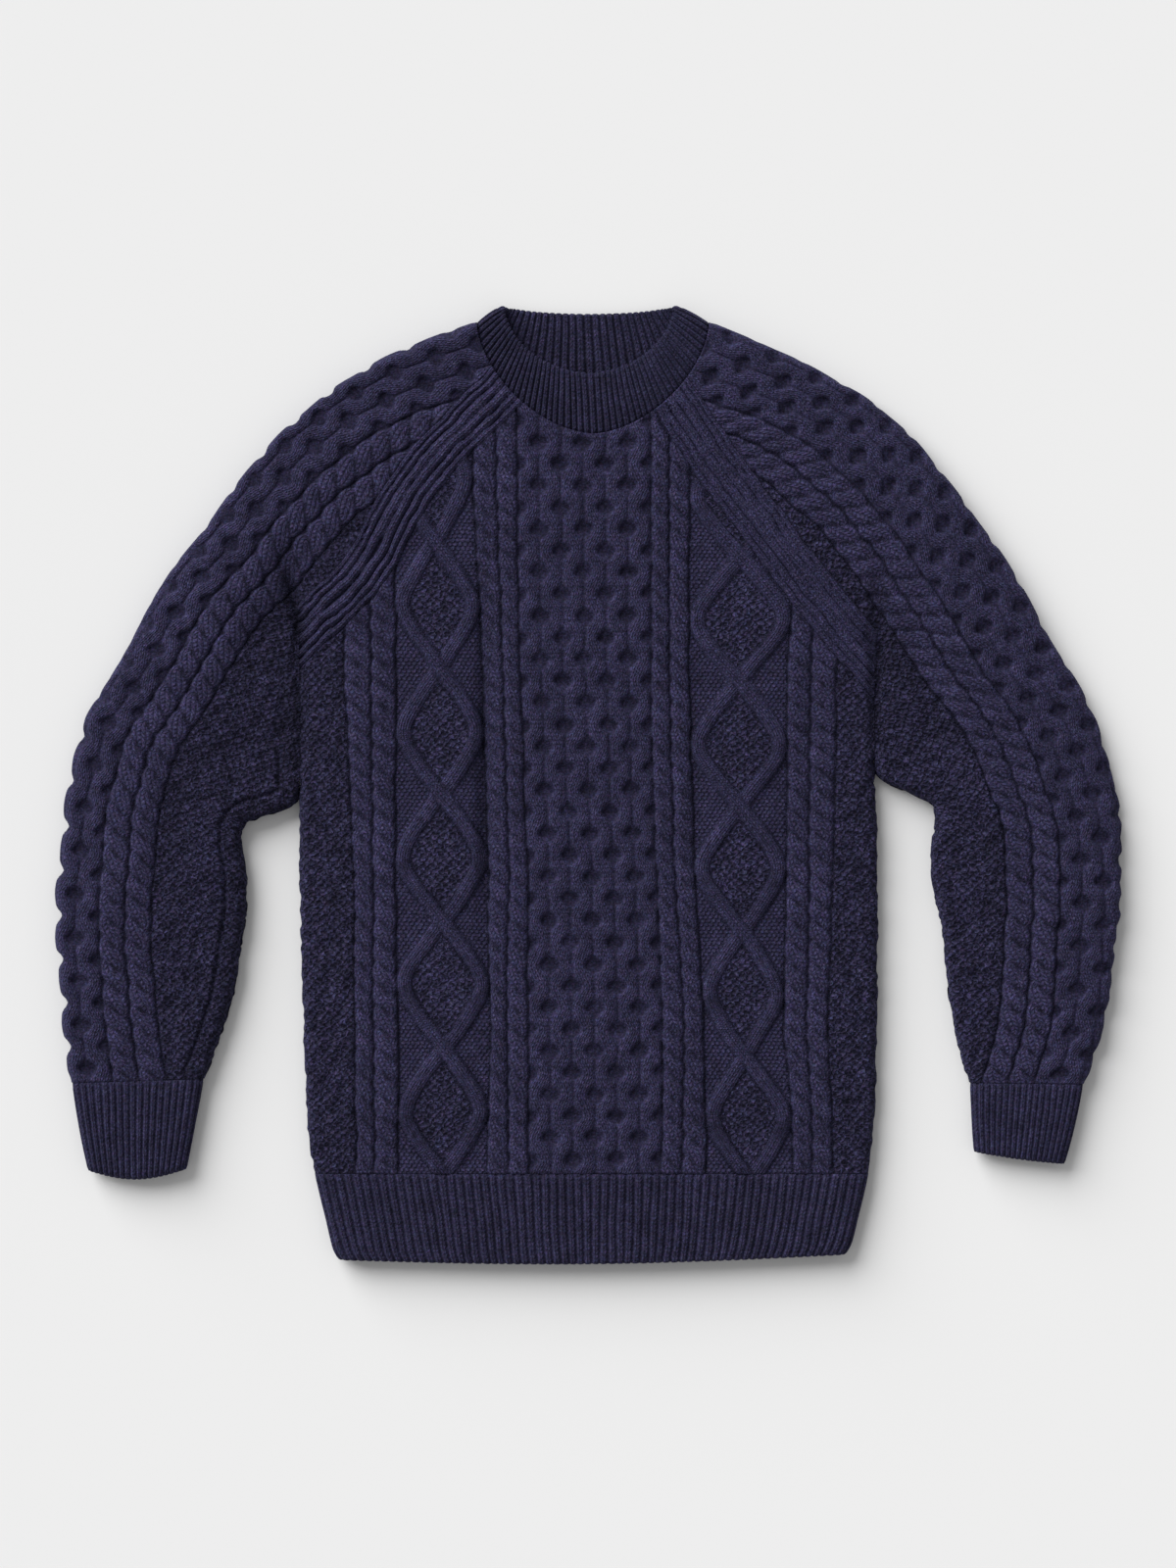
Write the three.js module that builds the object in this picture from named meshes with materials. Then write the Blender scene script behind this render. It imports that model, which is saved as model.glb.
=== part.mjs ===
// An aran sweater lying flat on its back: cable-knit front, back and raglan sleeves, with ribbed
// neckband, hem and cuffs. Millimetres, +Z up. X runs across the body, from the wearer's right
// sleeve (-X) to the left one (+X), +Y runs towards the neck, and Z = 0 is the surface it lies on.
import * as THREE from 'three';

// Driving dimensions.
const WALL = 6.5; // one layer of cabled knit
const LIE = 16; // height of the front layer lying on the back layer
const FOLD = LIE / 2; // outer radius of every side fold
const FOLD_INNER = FOLD - WALL; // inner radius of the same fold
const SEAM = 0.3; // gap between pieces that are sewn together
const NECK_SEAM = 0.4; // the same gap along the curved neckline

// The flattened tube is drawn with this many steps.
const ARC_STEPS = 3; // in a quarter turn of a fold
const BODY_STEPS = 16; // across the body between its folds
const SLEEVE_STEPS = 8; // across a sleeve between its folds
const CUFF_STEPS = 5; // across a cuff between its folds

// Neckline: two rounded arcs that share their ends at the shoulders.
const NECK = { x: 3, y: 346, halfWidth: 87, frontDepth: 84, backDepth: 39, power: 1.7 };
// Top edge of the neckband, above the same arcs.
const BAND_TOP = { x: 0, y: 361, halfWidth: 64, frontDepth: 53, backDepth: 7, power: 1.9 };
// Where the raglan seams reach the neckline, in degrees round it from the wearer's right shoulder.
const RAGLAN_TOP = { frontRight: 38, frontLeft: 136, backRight: 47, backLeft: 133 };
const HALF_TURN = 180;

// Neckband: degrees between its stations, and where they start and end beside the shoulder folds.
const BAND_STEP = { front: 7, back: 17 };
const BAND_START = { front: 10, back: 30 };
const BAND_ROWS = 2;

// How far each section's back edge runs on towards the neck past the front edge, from the top.
const BACK_RISE = [0, 5];

const table = (columns, rows) => rows.map(
  (row) => Object.fromEntries(columns.map((column, index) => [column, row[index]])),
);

// Sections across each sleeve, from just below the neckband to the cuff. Inner is the raglan
// seam, then the armhole, then the fold under the arm. Outer is the fold over the shoulder.
const SLEEVE_COLUMNS = ['innerX', 'innerY', 'outerX', 'outerY'];
const UNDERARM_ROW = 9; // counted with the neckline as row 0
const RIGHT_SLEEVE = table(SLEEVE_COLUMNS, [
  [-93, 268, -131, 329],
  [-122, 238, -176, 306],
  [-145, 203, -212, 280],
  [-166, 165, -250, 242],
  [-195, 133, -288, 191],
  [-217.5, 112, -320, 149],
  [-217.5, 60, -346, 101],
  [-217.5, 12, -366, 68],
  [-217.5, -8, -374, 55],
  [-240, -24, -382, 33],
  [-259, -32, -388, 10],
  [-261, -45, -393, -15],
  [-257, -74, -396, -50],
  [-258, -98, -400, -85],
  [-262, -124, -400, -118],
  [-266, -152, -397, -148],
  [-274, -181, -395, -181],
  [-289, -222, -389, -225],
]);
const LEFT_SLEEVE = table(SLEEVE_COLUMNS, [
  [82, 262, 135, 327],
  [102, 233, 185, 302],
  [134, 190, 225, 275],
  [164, 151, 262, 236],
  [190, 119, 292, 196],
  [214.5, 91, 320, 156],
  [214.5, 55, 348, 104],
  [214.5, 31, 366, 76],
  [214.5, 12, 376, 56],
  [239, -7, 385, 32],
  [259, -19, 392, 6],
  [260, -32, 398, -18],
  [257, -57, 400, -54],
  [260, -86, 400, -88],
  [266, -111, 396, -114],
  [269, -144, 392, -148],
  [274, -181, 386, -181],
  [286, -225, 372, -226],
]);

// Sides of the body from the hem seam up to the underarm.
const SIDE_COLUMNS = ['rightX', 'rightY', 'leftX', 'leftY'];
const BODY_SIDES = table(SIDE_COLUMNS, [
  [-206, -293, 210, -293],
  [-211, -268, 213.5, -268],
  [-214, -200, 216, -196],
  [-216, -128, 217, -126],
  [-217.5, -60, 217, -52],
]);

// Sides of the hem rib, from its lower edge up to the seam.
const HEM_SIDES = table(SIDE_COLUMNS, [
  [-187, -358, 192, -354],
  [-190.5, -353, 195.5, -349],
  [-198, -325, 203, -323],
  [-206, -293, 210, -293],
]);
const HEM_SAG = 4.85; // how far the middle of the lower edge hangs below its ends

// Sections across each cuff, from the sleeve to its open end.
const RIGHT_CUFF = table(SLEEVE_COLUMNS, [
  [-290, -222, -388, -225],
  [-296, -255, -383, -257],
  [-303, -290, -376, -291],
]);
const LEFT_CUFF = table(SLEEVE_COLUMNS, [
  [287, -225, 371, -226],
  [288, -250, 365, -256],
  [290, -277, 357, -286],
]);
const RIGHT_CUFF_SAG = 7;
const LEFT_CUFF_SAG = 1;

// Soft troughs in the front layer: where each one is, which way it runs in degrees from +X,
// and its length, width and depth.
const TROUGH_COLUMNS = ['x', 'y', 'turn', 'length', 'width', 'depth'];
const TROUGHS = table(TROUGH_COLUMNS, [
  [-238, 128, 62, 120, 34, 1.4],
  [-262, 30, 20, 110, 26, 1.0],
  [-318, -30, 78, 150, 30, 0.9],
  [236, 96, 118, 110, 32, 1.4],
  [268, 38, 160, 105, 28, 1.1],
  [318, -60, 100, 160, 32, 0.9],
  [-120, -262, 4, 190, 24, 0.8],
  [118, -258, 176, 150, 26, 0.9],
  [-150, 60, 105, 210, 44, 0.8],
  [160, 20, 82, 230, 40, 0.8],
]);

// ---- plan curves ----

const radians = (degrees) => THREE.MathUtils.degToRad(degrees);
const lerp = THREE.MathUtils.lerp;
const mix = (a, b, t) => new THREE.Vector2(lerp(a.x, b.x, t), lerp(a.y, b.y, t));

function roundedArc(arc, depth, degrees, grow = 0) {
  const angle = radians(degrees);
  const across = Math.sign(Math.cos(angle)) * Math.abs(Math.cos(angle)) ** (2 / arc.power);
  const down = Math.abs(Math.sin(angle)) ** (2 / arc.power);
  return new THREE.Vector2(arc.x - (arc.halfWidth + grow) * across, arc.y - (depth + grow) * down);
}

const frontNeck = (degrees, grow) => roundedArc(NECK, NECK.frontDepth, degrees, grow);
const backNeck = (degrees, grow) => roundedArc(NECK, NECK.backDepth, degrees, grow);
const shoulderPoint = (degrees, grow) => frontNeck(degrees, grow);

const inner = (row) => new THREE.Vector2(row.innerX, row.innerY);
const outer = (row) => new THREE.Vector2(row.outerX, row.outerY);

// Moves each point of a path sideways, to its left when distance is positive.
function offsetPath(path, distance) {
  return path.map((point, index) => {
    const before = path[Math.max(index - 1, 0)];
    const after = path[Math.min(index + 1, path.length - 1)];
    const along = after.clone().sub(before).normalize();
    return new THREE.Vector2(point.x - along.y * distance, point.y + along.x * distance);
  });
}

// One side of the garment: sections of its sleeve with the neckline's points as row 0.
function sleeveSections(rows, shoulder, frontTop, backTop) {
  const front = [frontNeck(frontTop, NECK_SEAM), ...rows.map(inner)];
  const back = [backNeck(backTop, NECK_SEAM), ...rows.map(inner)];
  const raglan = front[0].clone().sub(front[1]).normalize();
  BACK_RISE.forEach((rise, index) => back[index].addScaledVector(raglan, rise));
  return { front, back, outer: [shoulderPoint(shoulder, NECK_SEAM), ...rows.map(outer)] };
}

const RIGHT = sleeveSections(RIGHT_SLEEVE, 0, RAGLAN_TOP.frontRight, RAGLAN_TOP.backRight);
const LEFT = sleeveSections(LEFT_SLEEVE, HALF_TURN, RAGLAN_TOP.frontLeft, RAGLAN_TOP.backLeft);

// ---- sections ----

// Lift of the front layer, which follows its troughs.
function lift(x, y) {
  return TROUGHS.reduce((sum, trough) => {
    const turn = radians(trough.turn);
    const along = (x - trough.x) * Math.cos(turn) + (y - trough.y) * Math.sin(turn);
    const across = (y - trough.y) * Math.cos(turn) - (x - trough.x) * Math.sin(turn);
    const reach = (2 * along / trough.length) ** 2 + (2 * across / trough.width) ** 2;
    return sum - trough.depth * Math.exp(-reach);
  }, 0);
}

// Points of one edge of a layer, from the edge inwards. fold is 1 where the layer turns down
// round a side fold and 0 where it is cut square against a seam. Distances are along the
// section (q) and up from mid height (z), for the outside and the inside of the wall.
function edgePoints(fold, clearance) {
  return Array.from({ length: ARC_STEPS + 1 }, (_, step) => {
    const share = step / ARC_STEPS;
    const angle = (1 - share) * Math.PI / 2;
    const turned = (radius) => ({
      q: FOLD - radius * Math.sin(angle),
      z: clearance + (radius - clearance) * Math.cos(angle),
    });
    const outside = turned(FOLD);
    const inside = turned(FOLD_INNER);
    return {
      q: lerp(FOLD * share, outside.q, fold),
      z: lerp(FOLD, outside.z, fold),
      qIn: lerp(FOLD * share, inside.q, fold),
      zIn: lerp(FOLD_INNER, inside.z, fold),
    };
  });
}

// Points across one layer, from edge A to edge B.
function layerPoints(width, steps, foldA, foldB, clearanceB = SEAM / 2) {
  const start = edgePoints(foldA, SEAM / 2);
  const end = edgePoints(foldB, clearanceB).reverse();
  const middle = Array.from({ length: steps - 1 }, (_, index) => {
    const q = lerp(FOLD, width - FOLD, (index + 1) / steps);
    return { q, z: FOLD, qIn: q, zIn: FOLD_INNER };
  });
  const turned = end.map((point) => ({ ...point, q: width - point.q, qIn: width - point.qIn }));
  return [...start, ...middle, ...turned];
}

// Places section points in space. plan(share) is the section's line on the ground, and side is
// 1 for the front layer and -1 for the back layer.
function placeSection(points, width, plan, side) {
  const place = (q, z) => {
    const spot = plan(q / width);
    const raised = side > 0 ? lift(spot.x, spot.y) * z / FOLD : 0;
    return new THREE.Vector3(spot.x, spot.y, FOLD + side * z + raised);
  };
  return {
    outside: points.map((point) => place(point.q, point.z)),
    inside: points.map((point) => place(point.qIn, point.zIn)),
  };
}

// ---- closed solids ----

function solidFrom(vertices, quads) {
  const triangles = quads.flatMap(([a, b, c, d]) => [a, b, c, a, c, d]);
  const volume = new THREE.Vector3();
  let sixfold = 0;
  for (let index = 0; index < triangles.length; index += 3) {
    const [a, b, c] = [0, 1, 2].map((corner) => vertices[triangles[index + corner]]);
    sixfold += a.dot(volume.crossVectors(b, c));
  }
  if (sixfold < 0) triangles.reverse();
  const geometry = new THREE.BufferGeometry().setFromPoints(vertices);
  geometry.setIndex(triangles);
  geometry.computeVertexNormals();
  return geometry;
}

// A wall between two grids of points. A ring's columns close on themselves.
function wall(rows, ring) {
  const columns = rows[0].outside.length;
  const vertices = [];
  const place = (layer) => rows.map((row) => row[layer].map((point) => vertices.push(point) - 1));
  const outside = place('outside');
  const inside = place('inside');
  const next = (column) => (column + 1) % columns;
  const spans = ring ? columns : columns - 1;
  const quads = [];
  for (let row = 0; row < rows.length - 1; row += 1) {
    for (let column = 0; column < spans; column += 1) {
      const [a, b] = [outside[row], outside[row + 1]];
      const [c, d] = [inside[row], inside[row + 1]];
      quads.push([a[column], a[next(column)], b[next(column)], b[column]]);
      quads.push([c[column], d[column], d[next(column)], c[next(column)]]);
    }
  }
  const last = rows.length - 1;
  for (let column = 0; column < spans; column += 1) {
    const after = next(column);
    quads.push([outside[0][column], inside[0][column], inside[0][after], outside[0][after]]);
    quads.push([outside[last][column], outside[last][after], inside[last][after], inside[last][column]]);
  }
  if (!ring) {
    for (let row = 0; row < last; row += 1) {
      const end = columns - 1;
      quads.push([outside[row][0], outside[row + 1][0], inside[row + 1][0], inside[row][0]]);
      quads.push([outside[row][end], inside[row][end], inside[row + 1][end], outside[row + 1][end]]);
    }
  }
  return solidFrom(vertices, quads);
}

// ---- pieces ----

// Straight section lines, bent near the last row to follow a curve.
const bentPlan = (from, to, bend, amount) => (share) => {
  const straight = mix(from, to, share);
  return bend ? straight.addScaledVector(bend(share), amount) : straight;
};

// How a curve departs from the straight line between its ends.
const departure = (curve) => (share) => curve(share).sub(mix(curve(0), curve(1), share));

// Front (side 1) or back (side -1) of the body, from the hem seam to the neckline.
function bodyPanel(side) {
  const layer = side > 0 ? 'front' : 'back';
  const neck = side > 0 ? frontNeck : backNeck;
  const tops = side > 0
    ? [RAGLAN_TOP.frontRight, RAGLAN_TOP.frontLeft]
    : [RAGLAN_TOP.backRight, RAGLAN_TOP.backLeft];
  const armhole = (sections) => sections[layer].slice(0, UNDERARM_ROW + 1).reverse();
  const right = offsetPath([
    ...BODY_SIDES.map((row) => new THREE.Vector2(row.rightX, row.rightY)),
    ...armhole(RIGHT),
  ], -SEAM / 2);
  const left = offsetPath([
    ...BODY_SIDES.map((row) => new THREE.Vector2(row.leftX, row.leftY)),
    ...armhole(LEFT),
  ], SEAM / 2);
  const neckline = departure((share) => neck(lerp(tops[0], tops[1], share), NECK_SEAM));
  const sections = right.map((from, row) => {
    const to = left[row];
    const width = from.distanceTo(to);
    const fold = row <= BODY_SIDES.length ? 1 : 0;
    const points = layerPoints(width, BODY_STEPS, fold, fold);
    const plan = bentPlan(from, to, neckline, row / (right.length - 1));
    return placeSection(points, width, plan, side);
  });
  return wall(sections, false);
}

// A sleeve: one layer turned round the outer fold, open along the raglan seams and closed
// below the underarm, where its two edges are sewn together.
function sleeve(sections, shoulder, frontTop, backTop, handed) {
  const front = offsetPath(sections.front, handed * SEAM / 2);
  const back = offsetPath(sections.back, handed * SEAM / 2);
  const frontTopEdge = departure((share) => frontNeck(lerp(frontTop, shoulder, share), NECK_SEAM));
  const backTopEdge = departure((share) => backNeck(lerp(backTop, shoulder, share), NECK_SEAM));
  const last = front.length - 1;
  const rows = front.map((from, row) => {
    const to = sections.outer[row];
    const fold = row >= UNDERARM_ROW ? 1 : 0;
    const half = (edge, bend, side) => {
      const width = edge.distanceTo(to);
      const points = layerPoints(width, SLEEVE_STEPS, fold, 1, 0);
      const plan = bentPlan(edge, to, bend, 1 - row / last);
      return placeSection(points, width, plan, side);
    };
    const above = half(from, frontTopEdge, 1);
    const below = half(back[row], backTopEdge, -1);
    const join = (grid) => [...above[grid], ...below[grid].slice(0, -1).reverse()];
    return { outside: join('outside'), inside: join('inside') };
  });
  return wall(rows, false);
}

// A cuff: a flattened tube of rib from the sleeve to its open end.
function cuff(rows, sag) {
  const hang = (share) => new THREE.Vector2(0, -Math.sin(Math.PI * share));
  const sections = rows.map((row, index) => {
    const from = inner(row);
    const to = outer(row);
    if (index === 0) {
      from.y -= SEAM;
      to.y -= SEAM;
    }
    const width = from.distanceTo(to);
    const points = layerPoints(width, CUFF_STEPS, 1, 1, 0);
    points[0] = { ...points[0], z: 0, zIn: 0 };
    const plan = bentPlan(from, to, hang, sag * index / (rows.length - 1));
    const above = placeSection(points, width, plan, 1);
    const below = placeSection(points, width, plan, -1);
    const join = (grid) => [...above[grid], ...below[grid].slice(1, -1).reverse()];
    return { outside: join('outside'), inside: join('inside') };
  });
  return wall(sections, true);
}

// Front or back of the hem rib.
function hem(side) {
  const last = HEM_SIDES.length - 1;
  const sag = (share) => new THREE.Vector2(0, -Math.sin(Math.PI * share));
  const sections = HEM_SIDES.map((row, index) => {
    const drop = index === last ? SEAM : 0;
    const from = new THREE.Vector2(row.rightX, row.rightY - drop);
    const to = new THREE.Vector2(row.leftX, row.leftY - drop);
    const width = from.distanceTo(to);
    const points = layerPoints(width, BODY_STEPS, 1, 1);
    return placeSection(points, width, bentPlan(from, to, sag, HEM_SAG * (1 - index / last)), side);
  });
  return wall(sections, false);
}

// The neckband: a doubled rib ring that lies flattened, front on back, folded at the shoulders.
function neckband() {
  const up = new THREE.Vector3(0, 0, 1);
  const stations = [];
  const flat = (degrees, side) => {
    const bottom = side > 0 ? frontNeck(degrees) : backNeck(degrees);
    const depth = side > 0 ? BAND_TOP.frontDepth : BAND_TOP.backDepth;
    const top = roundedArc(BAND_TOP, depth, degrees);
    const point = (spot) => new THREE.Vector3(spot.x, spot.y, FOLD + side * FOLD);
    stations.push({ bottom: point(bottom), top: point(top), out: up.clone().multiplyScalar(side) });
  };
  const fold = (shoulder, junction, fromSide) => {
    const bottom = frontNeck(shoulder);
    const top = roundedArc(BAND_TOP, BAND_TOP.frontDepth, shoulder);
    const away = bottom.clone().sub(frontNeck(junction)).normalize();
    for (let step = 1; step < 2 * ARC_STEPS; step += 1) {
      const angle = step / ARC_STEPS * Math.PI / 2;
      const out = new THREE.Vector3(away.x * Math.sin(angle), away.y * Math.sin(angle),
        fromSide * Math.cos(angle));
      const point = (spot) => new THREE.Vector3(spot.x - away.x * FOLD, spot.y - away.y * FOLD, FOLD)
        .addScaledVector(out, FOLD);
      stations.push({ bottom: point(bottom), top: point(top), out });
    }
  };
  const sweep = (side) => {
    const start = side > 0 ? BAND_START.front : BAND_START.back;
    const step = side > 0 ? BAND_STEP.front : BAND_STEP.back;
    const count = Math.round((HALF_TURN - 2 * start) / step);
    for (let index = 0; index <= count; index += 1) {
      const degrees = lerp(start, HALF_TURN - start, index / count);
      flat(side > 0 ? degrees : HALF_TURN - degrees, side);
    }
  };
  sweep(1);
  fold(HALF_TURN, RAGLAN_TOP.frontLeft, 1);
  sweep(-1);
  fold(0, RAGLAN_TOP.frontRight, -1);
  const rows = Array.from({ length: BAND_ROWS + 1 }, (_, row) => {
    const outside = stations.map(({ bottom, top }) => bottom.clone().lerp(top, row / BAND_ROWS));
    const inside = outside.map((point, index) => (
      point.clone().addScaledVector(stations[index].out, -WALL)
    ));
    return { outside, inside };
  });
  return wall(rows, true);
}

// ---- assembly ----

const cableKnit = { color: 0x292738, roughness: 0.95, metalness: 0 };
const ribKnit = { color: 0x262435, roughness: 0.95, metalness: 0 };

const group = new THREE.Group();

function add(name, geometry, look) {
  const mesh = new THREE.Mesh(geometry, new THREE.MeshStandardMaterial(look));
  mesh.name = name;
  group.add(mesh);
}

const { frontRight, frontLeft, backRight, backLeft } = RAGLAN_TOP;

add('front', bodyPanel(1), cableKnit);
add('back', bodyPanel(-1), cableKnit);
add('sleeve_right', sleeve(RIGHT, 0, frontRight, backRight, -1), cableKnit);
add('sleeve_left', sleeve(LEFT, HALF_TURN, frontLeft, backLeft, 1), cableKnit);
add('cuff_right', cuff(RIGHT_CUFF, RIGHT_CUFF_SAG), ribKnit);
add('cuff_left', cuff(LEFT_CUFF, LEFT_CUFF_SAG), ribKnit);
add('hem_front', hem(1), ribKnit);
add('hem_back', hem(-1), ribKnit);
add('neckband', neckband(), ribKnit);

export default group;
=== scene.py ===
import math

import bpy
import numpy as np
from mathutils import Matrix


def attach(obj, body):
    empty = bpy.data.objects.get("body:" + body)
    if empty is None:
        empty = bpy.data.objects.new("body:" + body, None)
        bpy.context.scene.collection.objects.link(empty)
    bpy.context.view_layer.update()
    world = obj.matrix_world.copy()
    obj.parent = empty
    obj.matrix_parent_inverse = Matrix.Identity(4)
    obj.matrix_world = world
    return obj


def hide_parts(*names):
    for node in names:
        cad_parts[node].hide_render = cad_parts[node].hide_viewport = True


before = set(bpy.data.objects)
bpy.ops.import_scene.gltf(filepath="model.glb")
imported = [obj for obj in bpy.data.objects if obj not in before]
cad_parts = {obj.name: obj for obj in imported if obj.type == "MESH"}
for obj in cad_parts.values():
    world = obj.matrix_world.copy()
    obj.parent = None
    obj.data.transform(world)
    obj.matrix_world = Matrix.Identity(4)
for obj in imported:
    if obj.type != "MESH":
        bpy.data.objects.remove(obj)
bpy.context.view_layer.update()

# An aran sweater laid flat on its back: cable-knit front, back and raglan sleeves, with ribbed
# neckband, hem and cuffs. X runs across the body from the wearer's right (-X), Y towards the
# neck and Z up from the floor. Shapes are worked out in millimetres and made in metres, and a
# point of the plan is one complex number, x + iy.

MM = 0.001
BODY = "root"

# ---- the garment's own sizes, as in the part's source, but with closer seams ----

WALL = 6.5  # one layer of cabled knit
LIE = 16.0  # height of the front layer lying on the back layer
FOLD = LIE / 2  # outer radius of every side fold
FOLD_INNER = FOLD - WALL
FOLD_ARC = math.pi / 2 * FOLD  # along the surface of a quarter turn
SEAM = 0.1  # gap between pieces that are sewn together

NECK = dict(x=3, y=346, half_width=87, front=84, back=39, power=1.7)
BAND_TOP = dict(x=0, y=361, half_width=64, front=53, back=7, power=1.9)
# Where the raglan seams reach the neckline, in degrees from the wearer's right shoulder.
RAGLAN_TOP = dict(front_right=38, front_left=136, back_right=47, back_left=133)
BACK_RISE = (0, 5)  # how far the back's first raglan points are moved up towards the neckline
HALF_TURN = 180
SHOULDER = dict(right=0, left=HALF_TURN)  # in the same degrees
OUT = dict(right=-1, left=1)  # which way along X each hand is
SIDE = dict(front=1, back=-1)  # which way along Z each layer faces
HEM_Y = -293.0
UNDERARM_ROW = 9  # of a sleeve's sections, with the neckline as row 0
RAGLAN_END = 6  # the section where the raglan seam turns down into the armhole


def table(columns, rows):
    """A dict with an array for each named column."""
    return dict(zip(columns.split(), np.array(rows, float).T))


EDGE_COLUMNS = "inner_x inner_y outer_x outer_y"
RIGHT_SLEEVE = table(EDGE_COLUMNS, [
    (-93, 268, -131, 329),
    (-122, 238, -176, 306),
    (-145, 203, -212, 280),
    (-166, 165, -250, 242),
    (-195, 133, -288, 191),
    (-217.5, 112, -320, 149),
    (-217.5, 60, -346, 101),
    (-217.5, 12, -366, 68),
    (-217.5, -8, -374, 55),
    (-240, -24, -382, 33),
    (-259, -32, -388, 10),
    (-261, -45, -393, -15),
    (-257, -74, -396, -50),
    (-258, -98, -400, -85),
    (-262, -124, -400, -118),
    (-266, -152, -397, -148),
    (-274, -181, -395, -181),
    (-289, -222, -389, -225),
])
LEFT_SLEEVE = table(EDGE_COLUMNS, [
    (82, 262, 135, 327),
    (102, 233, 185, 302),
    (134, 190, 225, 275),
    (164, 151, 262, 236),
    (190, 119, 292, 196),
    (214.5, 91, 320, 156),
    (214.5, 55, 348, 104),
    (214.5, 31, 366, 76),
    (214.5, 12, 376, 56),
    (239, -7, 385, 32),
    (259, -19, 392, 6),
    (260, -32, 398, -18),
    (257, -57, 400, -54),
    (260, -86, 400, -88),
    (266, -111, 396, -114),
    (269, -144, 392, -148),
    (274, -181, 386, -181),
    (286, -225, 372, -226),
])
BODY_SIDES = table("y right left", [
    (-293, -206, 210),
    (-268, -211, 213.5),
    (-200, -214, 216),
    (-127, -216, 217),
    (-56, -217.5, 217),
    (10, -217.5, 214.5),
    (120, -217.5, 214.5),
])
HEM_SIDES = table("right_x right_y left_x left_y", [
    (-187, -358, 192, -354),
    (-190.5, -353, 195.5, -349),
    (-198, -325, 203, -323),
    (-206, -293, 210, -293),
])
HEM_SAG = 4.85
CUFFS = dict(
    right=table(EDGE_COLUMNS, [
        (-290, -222, -388, -225),
        (-296, -255, -383, -257),
        (-303, -290, -376, -291),
    ]),
    left=table(EDGE_COLUMNS, [
        (287, -225, 371, -226),
        (288, -250, 365, -256),
        (290, -277, 357, -286),
    ]))
CUFF_SAG = dict(right=7, left=1)

# Creases of the front layer: where each is, which way it runs in degrees from +X, its length
# and width, and how far it sinks (or stands up, when below zero).
CREASE_COLUMNS = "x y turn length width depth"
FRONT_CREASES = table(CREASE_COLUMNS, [
    (-238, 128, 62, 120, 34, 2.4),
    (-262, 30, 20, 110, 26, 1.8),
    (-318, -30, 78, 150, 30, 1.5),
    (236, 96, 118, 110, 32, 2.4),
    (268, 38, 160, 105, 28, 2.0),
    (318, -60, 100, 160, 32, 1.5),
    (-120, -262, 4, 190, 24, 1.2),
    (118, -258, 176, 150, 26, 1.4),
    (-150, 60, 105, 210, 44, 1.2),
    (160, 20, 82, 230, 40, 1.2),
    (-221, 136, 100, 70, 11, 5.5),
    (-226, 60, 92, 150, 22, 1.6),
    (218, 118, 92, 110, 16, 3.2),
    (-78, 20, 90, 270, 13, 4.4),
    (79, 40, 88, 200, 14, 1.2),
    (-160, -40, 92, 320, 26, -1.2),
    (-288, -64, 66, 90, 30, -1.4),
    (292, 4, 128, 100, 34, -1.4),
])
# The same kind of creases on the back layer, where they only sink, so that it still lies flat.
BACK_CREASES = table(CREASE_COLUMNS, [
    (-200, 120, 50, 150, 36, 1.6),
    (205, 96, 128, 130, 32, 1.8),
    (-40, 60, 74, 260, 50, 1.2),
    (70, -130, 108, 220, 44, 1.4),
    (-120, -240, 8, 170, 30, 1.2),
    (-330, 20, 70, 150, 30, 1.4),
    (330, -20, 112, 170, 34, 1.5),
])

# Where the front layer stands highest: the body's middle and along each sleeve.
FRONT_SWELLS = table(CREASE_COLUMNS, [
    (0, 20, 90, 900, 330, -4.5),
    (-236, 196, 46, 270, 84, -4.5),
    (-324, -20, 74, 380, 88, -5.0),
    (236, 196, 134, 270, 84, -4.5),
    (322, -20, 106, 380, 88, -5.0),
])
CREASES = {SIDE["front"]: FRONT_CREASES, SIDE["back"]: BACK_CREASES}


# ---- curves of the plan ----

def mix(a, b, share):
    return a + (b - a) * share


def ease(value, start, end):
    """0 at start, 1 at end, and smooth between."""
    share = np.clip((value - start) / (end - start), 0, 1)
    return share * share * (3 - 2 * share)


def rounded_arc(curve, layer, degrees, grow=0.0):
    """Points round a neckline's arc, in degrees from the wearer's right shoulder."""
    angle = np.radians(degrees)
    power = 2 / curve["power"]
    across = np.sign(np.cos(angle)) * np.abs(np.cos(angle)) ** power
    down = np.abs(np.sin(angle)) ** power
    x = curve["x"] - (curve["half_width"] + grow) * across
    return x + 1j * (curve["y"] - (curve[layer] + grow) * down)


def smooth(values, at):
    """A table's column between its rows, on a smooth curve that never overshoots them."""
    if np.iscomplexobj(values):
        return smooth(values.real, at) + 1j * smooth(values.imag, at)
    steps = np.diff(values)
    before, after = steps[:-1], steps[1:]
    total = np.where(before * after > 0, before + after, np.inf)
    slope = np.concatenate([steps[:1], 2 * before * after / total, steps[-1:]])
    row = np.clip(np.floor(at).astype(int), 0, len(values) - 2)
    t = at - row
    start = values[row] + t * slope[row]
    end = values[row + 1] - (1 - t) * slope[row + 1]
    return mix(start, end, t * t * (3 - 2 * t))


def sideways(path, distance):
    """A path moved to its left."""
    along = np.gradient(path)
    return path + 1j * along / np.abs(along) * distance


def lengths(path):
    return np.concatenate([[0], np.cumsum(np.abs(np.diff(path)))])


def corners(rows, side):
    return rows[f"{side}_x"] + 1j * rows[f"{side}_y"]


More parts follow.
